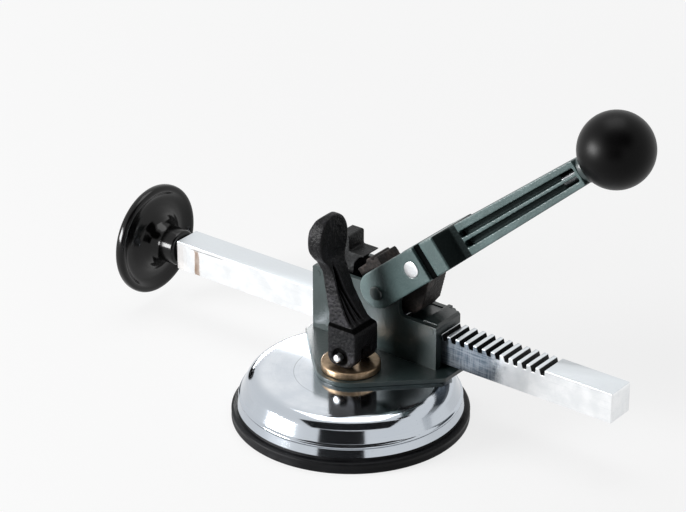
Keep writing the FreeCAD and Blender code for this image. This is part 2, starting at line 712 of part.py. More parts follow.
def pieces():
    """Every piece by name."""
    pivot_half = handle_width / 2 + 0.2
    hold_half = wall_offset
    return {
        "rubber_disc": rubber_disc(),
        "dome_cover": dome_cover(),
        "insert_plate": insert_plate(),
        "pull_stud": pull_stud(),
        "lever_pin": lever_pin(),
        "cam_lever": cam_lever(),
        "thrust_ring": thrust_ring(),
        "base_plate": base_plate(),
        "side_plate_near": side_plate(near_wall, wall_right, wall_low),
        "side_plate_far": side_plate(far_wall, far_wall_right, far_wall_low),
        "guide_block_rear": guide_block(wall_left + guide_inset, wall_left + guide_rear_length,
                                        guide_rear_height, guide_rivet_places()[0]),
        "guide_block_front": guide_block_front(),
        "guide_rivets": guide_rivets(),
        "wear_strip": wear_strip(),
        "holding_pawl": holding_pawl(),
        "holding_pawl_pin": pin_across(hold_pin_radius, hold_x, hold_z, hold_half, 0.5),
        "handle_pivot_pin": pin_across(pivot_radius, pivot_x, pivot_z, pivot_half,
                                       pivot_head_height),
        "handle": handle(),
        "drive_pawl": drive_pawl(),
        "drive_pawl_rivet": drive_rivet(),
        "knob_stud": knob_stud(),
        "knob_collar": knob_collar(),
        "ball_knob": ball_knob(),
        "rack_bar": rack_bar(),
        "push_pad": push_pad(),
        "pad_washer": pad_washer(),
        "pad_screw": pad_screw(),
        "holding_pawl_spring": holding_pawl_spring(),
        "drive_pawl_spring": drive_pawl_spring(),
    }


os.makedirs("parts", exist_ok=True)
for name, shape in pieces().items():
    shape.exportStep(f"parts/{name}.step")
    print(name, len(shape.Solids), round(shape.Volume, 1), shape.isValid())
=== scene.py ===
# %% [markdown]
# # A floor tile suction lifter
# The real tool is a steel-domed suction cup that carries a ratchet housing. This lesson dresses its
# measured solids. Every solid is already in its place in metres, so we only give each one a true
# surface: turned parts are made again as smooth surfaces of revolution, castings get melted edges,
# and plates get small bevels. The solids stay where they are and say where each surface goes.

# %% Load the solids and keep their box
import math
import bmesh
import bpy
import numpy as np
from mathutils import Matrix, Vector


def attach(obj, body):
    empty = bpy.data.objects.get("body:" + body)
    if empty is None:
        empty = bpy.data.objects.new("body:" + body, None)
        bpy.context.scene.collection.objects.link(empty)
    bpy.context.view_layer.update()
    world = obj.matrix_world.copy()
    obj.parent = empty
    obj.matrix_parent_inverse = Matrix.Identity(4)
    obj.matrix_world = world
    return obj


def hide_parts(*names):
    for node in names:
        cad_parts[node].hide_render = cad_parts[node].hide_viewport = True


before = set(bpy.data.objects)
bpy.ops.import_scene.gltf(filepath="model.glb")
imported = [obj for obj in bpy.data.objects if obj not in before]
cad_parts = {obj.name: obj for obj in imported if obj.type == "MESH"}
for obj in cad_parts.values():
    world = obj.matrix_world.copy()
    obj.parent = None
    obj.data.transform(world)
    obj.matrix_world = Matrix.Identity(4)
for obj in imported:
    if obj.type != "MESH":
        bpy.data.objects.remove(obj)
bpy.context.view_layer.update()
MM = 0.001

# %% [markdown]
# ## Shader maths as plain expressions
# A material is a small program made of nodes. Wiring each Math node by hand hides the formula, so one
# small class wraps a socket and lets Python's own signs add the nodes: `1 - mask` or `lines * 0.2`.
# Everything that isn't arithmetic comes from one method, `add`, which takes the node's type, its
# settings and what feeds its sockets.

# %% A socket that can be calculated with
class Level:
    """A value that varies over a surface. Python's operators on it add Math nodes."""

    def __init__(self, recipe, socket):
        self.recipe = recipe
        self.socket = socket

    def math(self, operation, *others):
        """A Math node that takes this value first and the others after it."""
        inputs = dict(enumerate((self,) + others))
        return self.recipe.add("ShaderNodeMath", {"operation": operation}, inputs)

    def flipped(self, operation, other):
        """A Math node that takes the other value first, as the minus in 1 - mask does."""
        return self.recipe.add("ShaderNodeMath", {"operation": operation}, {0: other, 1: self})

    def __add__(self, other):
        return self.math("ADD", other)

    def __radd__(self, other):
        return self.flipped("ADD", other)

    def __sub__(self, other):
        return self.math("SUBTRACT", other)

    def __rsub__(self, other):
        return self.flipped("SUBTRACT", other)

    def __mul__(self, other):
        return self.math("MULTIPLY", other)

    def __rmul__(self, other):
        return self.flipped("MULTIPLY", other)

    def __truediv__(self, other):
        return self.math("DIVIDE", other)

    def __pow__(self, other):
        return self.math("POWER", other)

    def size(self):
        """Without its sign."""
        return self.math("ABSOLUTE")

    def clamp(self):
        """Kept between 0 and 1."""
        return self.math("MAXIMUM", 0.0).math("MINIMUM", 1.0)

    def step(self, low, high):
        """0 below low, 1 above high, and a smooth rise between them."""
        return self.recipe.add("ShaderNodeMapRange", {"interpolation_type": "SMOOTHSTEP"},
                               {"Value": self, "From Min": low, "From Max": high})


# %% A recipe: one material and its nodes
class Finish:
    """One material under construction."""

    def __init__(self, name, **constants):
        self.material = bpy.data.materials.new(name)
        self.material.use_nodes = True
        self.nodes = self.material.node_tree.nodes
        self.links = self.material.node_tree.links
        self.shader = next(n for n in self.nodes if n.type == "BSDF_PRINCIPLED")
        self.feed(self.shader, constants)

    def feed(self, node, sockets):
        """Links or sets sockets. The keyword Base_Color stands for the socket Base Color."""
        for key, value in sockets.items():
            if isinstance(key, str) and key not in node.inputs:
                key = key.replace("_", " ")
            socket = node.inputs[key]
            if isinstance(value, Level):
                self.links.new(value.socket, socket)
            else:
                socket.default_value = value

    def add(self, kind, settings=None, sockets=None, out=0):
        """Adds one node: its settings first, then the values or links of its sockets."""
        node = self.nodes.new(kind)
        for key, value in (settings or {}).items():
            setattr(node, key, value)
        self.feed(node, sockets or {})
        return Level(self, node.outputs[out])

    def place(self, scale=(1, 1, 1)):
        """Object coordinates in metres, which are the node's output 3, stretched."""
        here = self.add("ShaderNodeTexCoord", out=3)
        return self.add("ShaderNodeMapping", {}, {"Vector": here, "Scale": scale})

    def axes(self):
        """The three coordinates of a place in metres, one by one."""
        split = self.add("ShaderNodeSeparateXYZ", {}, {0: self.place()})
        return [Level(self, split.socket.node.outputs[i]) for i in range(3)]

    def noise(self, where, scale, detail, roughness=0.55):
        """A cloudy pattern around 0.5. The scale says how many clouds fill a metre."""
        return self.add("ShaderNodeTexNoise", {}, {"Vector": where, "Scale": scale, "Detail": detail,
                                                   "Roughness": roughness})

    def blend(self, mask, first, second):
        """The first colour where the mask is 0, the second where it is 1.

        A Mix node set to colours takes them at its sockets 6 and 7 and gives its output 2.
        """
        mixed = self.add("ShaderNodeMix", {"data_type": "RGBA"}, {0: mask}, out=2)
        for index, colour in ((6, first), (7, second)):
            if isinstance(colour, Level):
                self.links.new(colour.socket, mixed.socket.node.inputs[index])
            else:
                mixed.socket.node.inputs[index].default_value = (*colour, 1)
        return mixed

    def bump(self, height, strength, distance):
        """Small relief made by the light alone. The distance is its depth in metres."""
        return self.add("ShaderNodeBump", {}, {"Height": height, "Strength": strength,
                                               "Distance": distance})

    def finish(self, **surface):
        """Feeds the shader and hands the material over."""
        self.feed(self.shader, surface)
        return self.material


print("shader tools ready")

# %% [markdown]
# ## Rubber
# The sealing disc is moulded black rubber. Real rubber is never one grey: it has a dusty bloom, a
# faint cloudiness and a fine moulded grain. Two noises of different size carry the cloud and the
# grain, which is cheap and has no seams, where a painted texture would need unwrapping.

# %% Black rubber
def black_rubber():
    """Black, and greyer and duller where the bloom lies, which is 7 parts cloud and 3 parts grain."""
    mix = Finish("black_rubber", IOR=1.5, Specular_IOR_Level=0.12)
    cloud = mix.noise(mix.place(), 60, 5)
    grain = mix.noise(mix.place(), 1800, 3)
    bloom = (cloud * 0.7 + grain * 0.3).step(0.42, 0.68)
    return mix.finish(Base_Color=mix.blend(bloom, (0.004, 0.0042, 0.005), (0.013, 0.0135, 0.015)),
                      Roughness=0.40 + bloom * 0.22,
                      Normal=mix.bump(grain, 0.25, 0.0002))


RUBBER = black_rubber()
print("made", RUBBER.name)

# %% [markdown]
# ## Polished steel of the dome
# The dome is pressed from sheet and polished while it turns, so its scratches are circles round the
# middle. We take the distance from the axis, feed only that to a noise, and get rings. The polish is
# hazy in patches and on the shoulder, which a slow noise in colour and roughness gives. One circle
# is scribed into the flat round the bronze ring.

# %% Polished steel
scribed_circle = 0.0285
hazy_shoulder = (0.043, 0.049)


def polished_steel():
    """Mirror steel. Its rings are a noise on the distance from the axis, sqrt(x^2 + y^2)."""
    mix = Finish("polished_steel", Metallic=1.0)
    x, y, z = mix.axes()
    radius = (x * x + y * y).math("SQRT")
    ring_place = mix.add("ShaderNodeCombineXYZ", {}, {0: radius, 1: z * 0.6, 2: 0.0})
    rings = mix.noise(ring_place, 2600, 3)
    haze = mix.noise(mix.place(), 45, 4, 0.6)
    specks = mix.noise(mix.place(), 900, 2).step(0.66, 0.76)
    scribed = 1 - (radius - scribed_circle).size().step(0.0001, 0.0003)
    tone = (haze * 0.8 + rings * 0.2).step(0.3, 0.7)
    colour = mix.blend(tone, (0.60, 0.645, 0.70), (0.74, 0.775, 0.815))
    shoulder_haze = radius.step(*hazy_shoulder) * (0.4 + haze * 0.4)
    colour = mix.blend(shoulder_haze, colour, (0.40, 0.44, 0.49))
    colour = mix.blend(specks * 0.25 + scribed * 0.5, colour, (0.30, 0.33, 0.37))
    rough = 0.05 + haze * 0.07 + rings * 0.03 + specks * 0.1
    return mix.finish(Base_Color=colour, Roughness=rough, Normal=mix.bump(rings, 0.05, 0.00008))


STEEL_POLISHED = polished_steel()
print("made", STEEL_POLISHED.name)

# %% [markdown]
# ## Zinc-plated bar
# The bar is drawn square stock with a pale zinc skin. Drawing leaves fine lines along the bar, so
# the noise is stretched along X. Where the housing rubs it the zinc is worn grey, in lines that run
# both ways. The tooth gaps are painted near black as painted shade, and the top face is painted a
# darker zinc, which is painted shade too. A rusty streak and a fine scratch run over the front face
# near the pad, and the far end is left as it was sawn. Each of them is a mask on the place along,
# across and up the bar, so we first write down where things are.

# %% Places on the bar, in metres
bar_line = 0.0362
bar_top = 0.0445
bar_half = 0.008
bar_end = 0.1444
tooth_floor = 0.0405
toothed_run = (-0.032, 0.0985)
rubbed_run = (0.026, 0.070)
streak_run = (-0.1252, -0.1218)
smudge_run = (-0.1385, -0.1315)
scratch_run = (-0.1275, -0.106)
scratch_middle = (-0.116, 0.0429)
print("the bar lies along y =", bar_line, "with its top at z =", bar_top)

# %% Masks on the bar
def between(value, low, high, soft):
    """1 between low and high, 0 outside, with an edge `soft` wide."""
    return value.step(low - soft, low + soft) * (1 - value.step(high - soft, high + soft))


def worn_zone(x, z, cloud):
    """The run that the housing rubs, with an edge made ragged by the cloud, below the crests."""
    ragged = x + (cloud - 0.5) * 0.012
    return between(ragged, *rubbed_run, 0.004) * (1 - z.step(bar_top - 0.0008, bar_top - 0.0002))


def crossed_lines(mix):
    """Fine lines both ways: half a noise stretched up the bar, half one stretched along it."""
    upright = mix.noise(mix.place((1, 1, 0.08)), 1300, 3)
    level = mix.noise(mix.place((0.08, 1, 1)), 1300, 3)
    return (upright * 0.5 + level * 0.5).step(0.38, 0.60)


def tooth_gap_shade(x, y, z):
    """Painted shade from the tooth floors up to the crests along the toothed run, short of the bar's
    sides.
    """
    inside = 1 - (y - bar_line).size().step(bar_half - 0.00035, bar_half - 0.00015)
    in_gaps = between(z, tooth_floor, bar_top - 0.0003, 0.0001)
    return in_gaps * inside * between(x, *toothed_run, 0.0005)


def rust_marks(x, z, drip):
    """A streak and a fainter smudge, pushed sideways by the drip noise, that fade towards the top."""
    streak = between(x + (drip - 0.5) * 0.006, *streak_run, 0.0011) * (0.6 + drip * 0.5)
    smudge = between(x + (drip - 0.5) * 0.008, *smudge_run, 0.0022) * 0.35
    return (streak + smudge) * (1 - z.step(bar_top - 0.003, bar_top))


def fine_scratch(x, z, drip):
    """A thin line that climbs 1 in 50 through its middle point, broken up by the drip noise."""
    middle_x, middle_z = scratch_middle
    off_line = (z - middle_z - (x - middle_x) * 0.02).size()
    thin = 1 - off_line.step(0.00010, 0.00026)
    return between(x, *scratch_run, 0.002) * thin * (0.45 + drip * 0.6)


print("masks for the bar ready")

# %% Plated steel
def marked_bar(mix, colour, rough, cloud):
    """Lays the bar's marks and painted shade over its zinc, one over the other, and adds what dulls
    the shine.
    """
    x, y, z = mix.axes()
    drip = mix.noise(mix.place((1, 1, 0.25)), 420, 4, 0.65)
    front_face = 1 - y.step(bar_line - bar_half + 0.0001, bar_line - bar_half + 0.0006)
    # Painted shade: the top face is painted a darker zinc.
    painted_shade_top = z.step(bar_top - 0.0003, bar_top - 0.0001)
    worn = worn_zone(x, z, cloud)
    # Painted shade: near black in the tooth gaps.
    gap_shade = tooth_gap_shade(x, y, z)
    rust = (rust_marks(x, z, drip) * front_face).clamp()
    scratch = fine_scratch(x, z, drip) * front_face
    sawn_end = x.step(bar_end, bar_end + 0.0004)
    layers = ((painted_shade_top * (0.6 + cloud * 0.4), (0.64, 0.68, 0.71)),
              (worn * (0.99 - crossed_lines(mix) * 0.10), (0.040, 0.053, 0.069)),
              (gap_shade * 0.95, (0.012, 0.012, 0.012)),
              (rust, (0.17, 0.108, 0.068)),
              (scratch, (0.05, 0.05, 0.055)),
              (sawn_end * (0.55 + cloud * 0.4), (0.40, 0.43, 0.46)))
    for mask, tone in layers:
        colour = mix.blend(mask, colour, tone)
    return colour, rough + worn * 0.12 + gap_shade * 0.4 + rust * 0.35


def drawn_zinc(name, on_bar=False):
    """Pale zinc with slow clouds and with fine drawing lines along X."""
    mix = Finish(name, Metallic=1.0)
    lines = mix.noise(mix.place((0.03, 1, 1)), 1500, 3)
    cloud = mix.noise(mix.place(), 110, 6, 0.62)
    colour = mix.blend(cloud.step(0.35, 0.7), (0.80, 0.82, 0.835), (0.90, 0.91, 0.92))
    colour = mix.blend(lines.step(0.55, 0.8) * 0.3, colour, (0.55, 0.58, 0.62))
    rough = 0.24 + cloud * 0.12 + lines * 0.06
    if on_bar:
        colour, rough = marked_bar(mix, colour, rough, cloud)
    return mix.finish(Base_Color=colour, Roughness=rough.clamp(),
                      Normal=mix.bump(lines, 0.10, 0.0001))


ZINC = drawn_zinc("zinc_steel")
ZINC_BAR = drawn_zinc("zinc_bar", on_bar=True)
print("made", ZINC.name, ZINC_BAR.name)

# %% [markdown]
# ## Enamel on the housing and the handle
# The housing and the handle wear a dark green-black enamel over rough castings. The grain below
# shows through as a low swell, and a thin coat with a soft gloss lies on top. The handle is the
# rougher of the two, and its colour is painted lighter: painted light for the light it catches.
# Its groove and hollows are painted shade, and the step behind the groove is a painted shadow of
# the wide root. A coat would still shine there, so these places become a metal as dark as soot,
# which mirrors next to nothing.

# %% Places on the handle, in metres
swing = math.radians(40.4)
pivot_x, pivot_z = 0.0017, 0.061
root_groove = (0.0361, 0.0413)
root_step = (0.0507, 0.0590)
arm_hollows = (0.0585, 0.1412)


def handle_painted_shade(mix):
    """Painted shade: 1 in the root's groove, in the step behind it and in the arm's hollows.

    Each is a run along the arm, which is (x cos swing + z sin swing) counted from the pivot, times
    a limit on the distance from the arm's middle line across it.
    """
    x, y, z = mix.axes()
    along = (x - pivot_x) * math.cos(swing) + (z - pivot_z) * math.sin(swing)
    across = (y - bar_line).size()
    # The step behind the groove is a painted shadow of the wide root; the groove and hollows are
    # painted shade.
    groove = between(along, *root_groove, 0.0002) * (1 - across.step(0.0160, 0.0168))
    step_behind = between(along, *root_step, 0.0003) * (1 - across.step(0.0163, 0.0170))
    hollows = between(along, *arm_hollows, 0.0004) * (1 - across.step(0.0034, 0.0054))
    return (groove + step_behind * 0.9 + hollows * 0.75).clamp()


print("the handle rises by", round(math.degrees(swing), 1), "degrees")

# %% Enamel
def green_black_enamel(name, on_handle=False):
    """A green black with slow clouds and grey chips, over a swell of 6 parts drops, 4 parts sand."""
    mix = Finish(name, IOR=1.5, Coat_IOR=1.5, Coat_Roughness=0.2, Specular_IOR_Level=0.4)
    drops = mix.add("ShaderNodeTexVoronoi", {"feature": "SMOOTH_F1"},
                    {"Vector": mix.place(), "Scale": 820, "Smoothness": 0.7})
    sand = mix.noise(mix.place(), 1500, 3, 0.6)
    cloud = mix.noise(mix.place(), 50, 4)
    chips = mix.noise(mix.place(), 260, 5, 0.7).step(0.70, 0.74)
    # Painted light: the handle's colour is 2.3 times the base against 0.85 on the housing, a lighter
    # copy of the same paint.
    light, swell = (2.3, 0.8) if on_handle else (0.85, 0.3)
    colour = mix.blend(cloud.step(0.35, 0.7), np.array((0.026, 0.041, 0.0405)) * light,
                       np.array((0.038, 0.058, 0.0575)) * light)
    colour = mix.blend(chips * 0.5, colour, (0.09, 0.09, 0.085))
    rough = 0.32 + cloud * 0.1 + chips * 0.2
    coat = 0.35 - chips * 0.2
    if on_handle:
        # Painted shade: near black metal in the handle's groove, the step behind it and its hollows.
        recess = handle_painted_shade(mix)
        colour = mix.blend(recess, colour, (0.0025, 0.003, 0.003))
        rough = rough + recess * 0.3
        coat = (coat - recess).clamp()
        mix.finish(Metallic=recess)
    return mix.finish(Base_Color=colour, Roughness=rough, Coat_Weight=coat,
                      Normal=mix.bump(drops * 0.6 + sand * 0.4, swell, 0.0003))


ENAMEL = green_black_enamel("green_black_paint")
HANDLE_ENAMEL = green_black_enamel("handle_paint", on_handle=True)
print("made", ENAMEL.name, HANDLE_ENAMEL.name)

# %% [markdown]
# ## Bare castings
# The cam lever and the pawls are bare cast iron. It has a sharp sandy grain, made by a Voronoi
# pattern mixed with noise, and hardly any gloss. The lever's colour also carries painted light
# along its flutes: their floors, the recess round the pin and the ledge over the hub are painted
# black as painted shade, and the ridges between them are painted lighter as a painted highlight.
# The relief that we press into the mesh later uses the same two formulas, so colour and shape meet.

# %% Places on the cam lever, in metres
lever_hub = 0.052
lever_neck = 0.084
lever_pin_x, lever_pin_z = 0.0, 0.0363
hub_ledge = (0.0516, 0.0534)
flute_start = 0.0035
flute_ways = (-0.0028, 0.0014, 0.0062)


def from_middle(x, z):
    """How far a place lies on the +X side of the arm's middle plane, which leans back to -X."""
    return x + 0.004 + (z - lever_hub) * 0.28


def from_flutes(y, down):
    """Distances across Y from the three flutes, which start as one and fan out by down^1.4."""
    return [y + flute_start - down ** 1.4 * way for way in flute_ways]


print("the lever's arm runs from", lever_hub, "to", lever_neck)

# %% Castings
def lever_painted_light(mix):
    """Painted light: a highlight on the ridges by the flutes, shade in the flutes, recess and ledge.
    """
    x, y, z = mix.axes()
    down = ((lever_neck - z) / (lever_neck - lever_hub)).clamp()
    on_arm = (z.step(lever_hub + 0.001, lever_hub + 0.004)
              * (1 - z.step(lever_neck - 0.004, lever_neck)))
    front = from_middle(x, z).step(0.0, 0.002) * on_arm
    apart = [distance.size() for distance in from_flutes(y, down)]
    nearest = apart[0].math("MINIMUM", apart[1]).math("MINIMUM", apart[2])
    # A painted highlight on the ridges; painted shade in the flutes, the pin's recess and the hub's
    # ledge.
    ridge_highlight = between(nearest, 0.0009, 0.0015, 0.0003) * front
    flute = (1 - nearest.step(0.0004, 0.0009)) * front
    radius = ((x - lever_pin_x) ** 2.0 + (z - lever_pin_z) ** 2.0).math("SQRT")
    recess = 1 - radius.step(0.0044, 0.0052)
    return ridge_highlight, (recess + between(z, *hub_ledge, 0.0002) + flute).clamp()


def sand_casting(name, dark, light, shine, grain_size=650, relief=0.0004, on_lever=False):
    """Rough iron: half Voronoi and half noise make the grain, and a slow noise rubs it lighter."""
    mix = Finish(name, IOR=1.5, Specular_IOR_Level=0.15)
    pits = mix.add("ShaderNodeTexVoronoi", {"feature": "SMOOTH_F1"},
                   {"Vector": mix.place(), "Scale": grain_size, "Smoothness": 0.6})
    sand = mix.noise(mix.place(), grain_size * 1.6, 4, 0.65)
    grain = pits * 0.5 + sand * 0.5
    rub = mix.noise(mix.place(), 90, 4).step(0.45, 0.75)
    colour = mix.blend((grain * 0.6 + rub * 0.4).step(0.3, 0.75), dark, light)
    rough = shine + grain * 0.2 - rub * 0.06
    if on_lever:
        # Painted highlight on the ridges and painted shade, as near black metal, in the flutes, recess
        # and ledge.
        ridge_highlight, painted_shade = lever_painted_light(mix)
        colour = mix.blend(ridge_highlight * 0.8, colour, (0.05, 0.05, 0.056))
        colour = mix.blend(painted_shade, colour, (0.0015, 0.0015, 0.0015))
        rough = rough + painted_shade * 0.3
        mix.finish(Metallic=painted_shade)
    return mix.finish(Base_Color=colour, Roughness=rough, Normal=mix.bump(grain, 1.0, relief))


BLACK_CASTING = sand_casting("black_casting", (0.002, 0.0019, 0.0025), (0.027, 0.026, 0.030), 0.34,
                             600, 0.0006, on_lever=True)
BROWN_CASTING = sand_casting("brown_casting", (0.012, 0.0102, 0.0095), (0.062, 0.049, 0.044), 0.42)
GREY_CASTING = sand_casting("dark_steel_casting", (0.014, 0.0145, 0.015), (0.045, 0.047, 0.048),
                            0.38, 900)
print("made", BLACK_CASTING.name, BROWN_CASTING.name, GREY_CASTING.name)

# %% [markdown]
# ## Turned metals and black plastic
# The ring under the lever is bronze, the pins are steel, and both were turned: fine marks run round
# them, and a slow cloud of tarnish darkens them in patches. The ball and the pad are moulded black
# plastic, smooth enough for a soft highlight, with a little dust.

# %% Turned metals: bronze and steel
def turned_metal(name, light, dark, shine):
    """From the light to the dark colour by 3 parts cloud and 1 part turning marks."""
    mix = Finish(name, Metallic=1.0)
    marks = mix.noise(mix.place((0.05, 0.05, 1)), 4000, 2)
    cloud = mix.noise(mix.place(), 240, 5, 0.65)
    tarnish = (cloud * 0.75 + marks * 0.25).step(0.35, 0.68)
    return mix.finish(Base_Color=mix.blend(tarnish, light, dark), Roughness=shine + cloud * 0.16,
                      Normal=mix.bump(marks, 0.1, 0.0001))


BRONZE = turned_metal("bronze", (0.50, 0.36, 0.235), (0.24, 0.165, 0.10), 0.26)
OILED = turned_metal("dark_steel", (0.16, 0.165, 0.17), (0.06, 0.063, 0.067), 0.2)
BRIGHT_HEAD = turned_metal("bright_rivet", (0.90, 0.905, 0.91), (0.74, 0.76, 0.78), 0.25)
print("made", BRONZE.name, OILED.name, BRIGHT_HEAD.name)

# %% Moulded black plastic
def satin_plastic(name, shine, gloss):
    """Black with a slow wave in its gloss and sparse grey specks of dust."""
    mix = Finish(name, IOR=1.45, Specular_IOR_Level=gloss)
    wave = mix.noise(mix.place(), 70, 2)
    dust = mix.noise(mix.place(), 2200, 2).step(0.72, 0.82)
    return mix.finish(Base_Color=mix.blend(dust * 0.35, (0.0022, 0.0021, 0.0022), (0.02, 0.02, 0.02)),
                      Roughness=shine + wave * 0.06 + dust * 0.15,
                      Normal=mix.bump(wave, 0.06, 0.0004))


BALL_PLASTIC = satin_plastic("black_plastic", 0.33, 0.13)
PAD_PLASTIC = satin_plastic("pad_plastic", 0.13, 0.32)
print("made", BALL_PLASTIC.name, PAD_PLASTIC.name)

# %% [markdown]
# ## How the surfaces are made
# Three helpers do all the shaping. `turned` carries a profile round an axis, which is how a lathe
# works. `bevelled` takes a copy of a plate's solid, joins its loose triangles into whole faces and
# adds a Bevel, because a real edge always catches a thin line of light. `cast` melts a copy of a
# solid on a fine grid of cells, so that its corners flow like cast iron.

# %% Helper: hand a mesh over to the scene
def shown(name, mesh, material, node_names, body, crease=32):
    """Makes the object, shades it smooth up to an edge angle, and ties it to the tool."""
    piece = bpy.data.objects.new(name, mesh)
    bpy.context.scene.collection.objects.link(piece)
    mesh.materials.clear()
    mesh.materials.append(material)
    mesh.shade_smooth()
    mesh.set_sharp_from_angle(angle=math.radians(crease))
    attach(piece, body)
    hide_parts(*node_names)
    print(name, len(mesh.polygons), "faces on", body)
    return piece


print("the scene can take pieces")

# %% Helpers: profiles and directions
def eased(points, size, steps=5):
    """Rounds the inner corners of an open profile.

    Near each corner c, at most `size` away along both runs, lie a and b. The corner becomes the
    curve (1-t)^2 a + 2 t (1-t) c + t^2 b for t from 0 to 1, worked out for all corners at once.
    """
    p = np.asarray(points, float)
    run = p[1:] - p[:-1]
    length = np.linalg.norm(run, axis=1, keepdims=True)
    share = np.minimum(size / length, 0.48)
    a = p[1:-1] - run[:-1] * share[:-1]
    b = p[1:-1] + run[1:] * share[1:]
    t = np.linspace(0, 1, steps)[None, :, None]
    bent = (1 - t) ** 2 * a[:, None] + 2 * t * (1 - t) * p[1:-1][:, None] + t ** 2 * b[:, None]
    return np.vstack([p[:1], bent.reshape(-1, 2), p[-1:]])


def basis(axis):
    """The unit axis and two unit directions square to it and to each other."""
    axis = np.asarray(axis, float) / np.linalg.norm(axis)
    helper = np.array([0, 0, 1.0]) if abs(axis[2]) < 0.9 else np.array([1.0, 0, 0])
    side = np.cross(helper, axis)
    side /= np.linalg.norm(side)
    return axis, side, np.cross(axis, side)


print("profiles ready")

# %% Helpers: a surface of revolution
def grid_mesh(name, grid):
    """Quads between neighbouring rows and columns of a (rows, columns, 3) grid, closed round."""
    rows, columns = grid.shape[:2]
    index = np.arange(rows * columns).reshape(rows, columns)
    after = np.roll(index, -1, axis=1)
    quads = np.stack([index[:-1], after[:-1], after[1:], index[1:]], axis=-1).reshape(-1, 4)
    mesh = bpy.data.meshes.new(name)
    mesh.from_pydata(grid.reshape(-1, 3).tolist(), [], quads.tolist())
    work = bmesh.new()
    work.from_mesh(mesh)
    bmesh.ops.remove_doubles(work, verts=work.verts, dist=1e-7)
    bmesh.ops.dissolve_degenerate(work, edges=work.edges, dist=1e-8)
    bmesh.ops.recalc_face_normals(work, faces=work.faces)
    work.to_mesh(mesh)
    work.free()
    return mesh


def lathe_grid(profile, origin, axis, columns):
    """Point (r, h) at angle a goes to origin + h * axis + r * (cos a * side + sin a * up)."""
    along, side, up = basis(axis)
    r, h = np.asarray(profile, float).T
    a = np.linspace(0, 2 * np.pi, columns, endpoint=False)
    spoke = np.cos(a)[:, None] * side + np.sin(a)[:, None] * up
    return np.asarray(origin) + h[:, None, None] * along + r[:, None, None] * spoke[None]


def turned(name, profile, origin, axis, material, node_names, body, columns, crease=32):
    """A profile in millimetres, as (radius, height) points, carried round an axis."""
    grid = lathe_grid(np.asarray(profile) * MM, origin, axis, columns)
    shown(name, grid_mesh(name, grid), material, node_names, body, crease)


print("lathe ready")

# %% Helpers: bevelled plates
def joined_copy(node, tidy_angle=0.6):
    """A copy of a solid's triangles, with equal points joined and flat triangles merged."""
    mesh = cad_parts[node].data.copy()
    work = bmesh.new()
    work.from_mesh(mesh)
    bmesh.ops.remove_doubles(work, verts=work.verts, dist=2e-6)
    if tidy_angle:
        bmesh.ops.dissolve_limit(work, angle_limit=math.radians(tidy_angle), verts=work.verts,
                                 edges=work.edges)
    work.to_mesh(mesh)
    work.free()
    return mesh


def bevelled(name, node, width, material, body, segments=2):
    """The solid's own faces, with every edge sharper than 35 degrees cut back by `width` mm."""
    mesh = joined_copy(node)
    piece = shown(name, mesh, material, [node], body, 40)
    edge = piece.modifiers.new("edge", "BEVEL")
    edge.width = width * MM
    edge.segments = segments
    edge.limit_method = "ANGLE"
    edge.angle_limit = math.radians(35)
    edge.harden_normals = True


print("bevels ready")

# %% Helpers: melted castings
def melted(node, cell, passes):
    """The skin of a solid on a grid of cells, then `passes` rounds of averaging with neighbours."""
    mesh = joined_copy(node, 0)
    helper = bpy.data.objects.new("helper", mesh)
    bpy.context.scene.collection.objects.link(helper)
    skin = helper.modifiers.new("skin", "REMESH")
    skin.mode = "VOXEL"
    skin.voxel_size = cell * MM
    melt = helper.modifiers.new("melt", "SMOOTH")
    melt.factor = 0.5
    melt.iterations = passes
    ready = helper.evaluated_get(bpy.context.evaluated_depsgraph_get())
    result = bpy.data.meshes.new_from_object(ready)
    bpy.data.objects.remove(helper)
    return result


def mesh_points(mesh):
    """All points of a mesh as one (count, 3) array."""
    points = np.empty(len(mesh.vertices) * 3)
    mesh.vertices.foreach_get("co", points)
    return points.reshape(-1, 3)


def softened(mesh, weight, rounds):
    """Rounds a part of a mesh: each round moves a point towards its neighbours' mean by its weight."""
    points = mesh_points(mesh)
    ends = np.empty(len(mesh.edges) * 2, dtype=np.int32)
    mesh.edges.foreach_get("vertices", ends)
    first, second = ends.reshape(-1, 2).T
    here = np.concatenate([first, second])
    there = np.concatenate([second, first])
    count = np.bincount(here, minlength=len(points))[:, None]
    share = 0.6 * weight(points)[:, None]
    for _ in range(rounds):
        total = np.stack([np.bincount(here, points[there, k], len(points)) for k in range(3)], axis=1)
        points = points + share * (total / count - points)
    mesh.vertices.foreach_set("co", points.ravel())
    mesh.update()


def cast(name, node, cell, passes, material, body, relief=None, soft=None, rounds=0):
    """A melted skin, rounded more where `soft` says, whose points a relief may then move."""
    mesh = melted(node, cell, passes)
    if soft:
        softened(mesh, soft, rounds)
    if relief:
        mesh.vertices.foreach_set("co", relief(mesh_points(mesh)).ravel())
        mesh.update()
    shown(name, mesh, material, [node], body, 180)


print("castings ready")

# %% [markdown]
# ## The suction cup
# The rubber disc is a turned profile: a square rim with soft corners, a flat face that meets the
# tile, and a groove that lets the lip bend. The dome above it is one pressed sheet, so its profile
# is a flat top, a wide shoulder, a small bead and a straight skirt, each flowing into the next. The
# skirt starts a quarter of a millimetre further in than it ends: it then mirrors the dark in front
# of it, as the real one does, where an upright skirt would mirror the white floor.

# %% Rubber disc
cup = [(0, 0), (46, 0), (46.6, 1.2), (49.4, 1.2), (50, 0), (59.2, 0), (60, 0.9), (59.6, 3.2),
       (60, 5.2), (59.0, 6.0), (56.6, 6.0), (56.4, 7.5), (50.5, 7.5), (47.4, 4.6), (0, 4.6)]
turned("rubber_cup", eased(cup, 0.6), (0, 0, 0), (0, 0, 1), RUBBER, ["rubber_disc"], "base",
       160)

